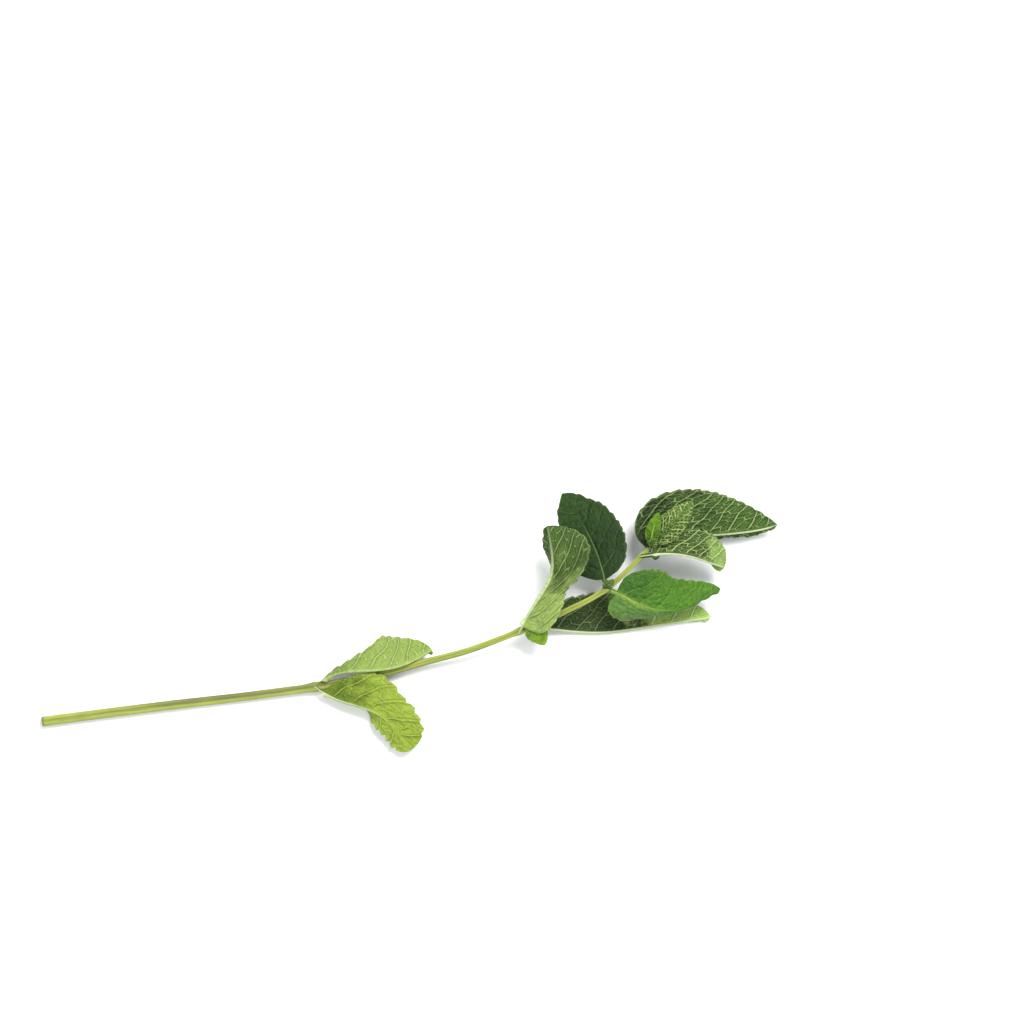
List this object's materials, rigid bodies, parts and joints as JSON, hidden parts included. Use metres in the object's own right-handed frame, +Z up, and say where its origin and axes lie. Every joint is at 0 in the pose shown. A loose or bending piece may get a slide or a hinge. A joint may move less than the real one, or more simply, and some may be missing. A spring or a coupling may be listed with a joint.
{
  "type": "spearmint sprig",
  "caption": "Cut herb sprig lying flat: a slender square stem with opposite pairs of toothed, veined oval leaves, some folded or curled, and a small leafy tip.",
  "frame": {"origin": "on the resting surface, under the middle of the sprig's bounding box", "axes": "+X along the sprig from the cut end of the stem to the leafy tip, +Z up from the surface it lies on"},
  "size_m": [0.2442, 0.0672, 0.0255],
  "materials": {
    "stem": "satin",
    "leaf_old": "matte",
    "leaf": "matte",
    "leaf_young": "matte"
  },
  "bodies": {
    "root": {"stem": "stem", "leaf_1_right": "leaf_old", "leaf_1_left": "leaf_old", "leaf_2_upper": "leaf", "leaf_2_lower": "leaf", "leaf_3_right": "leaf", "leaf_3_left": "leaf", "leaf_4_upper": "leaf", "leaf_4_lower": "leaf", "shoot_tip": "leaf_young"}
  },
  "joints": []
}
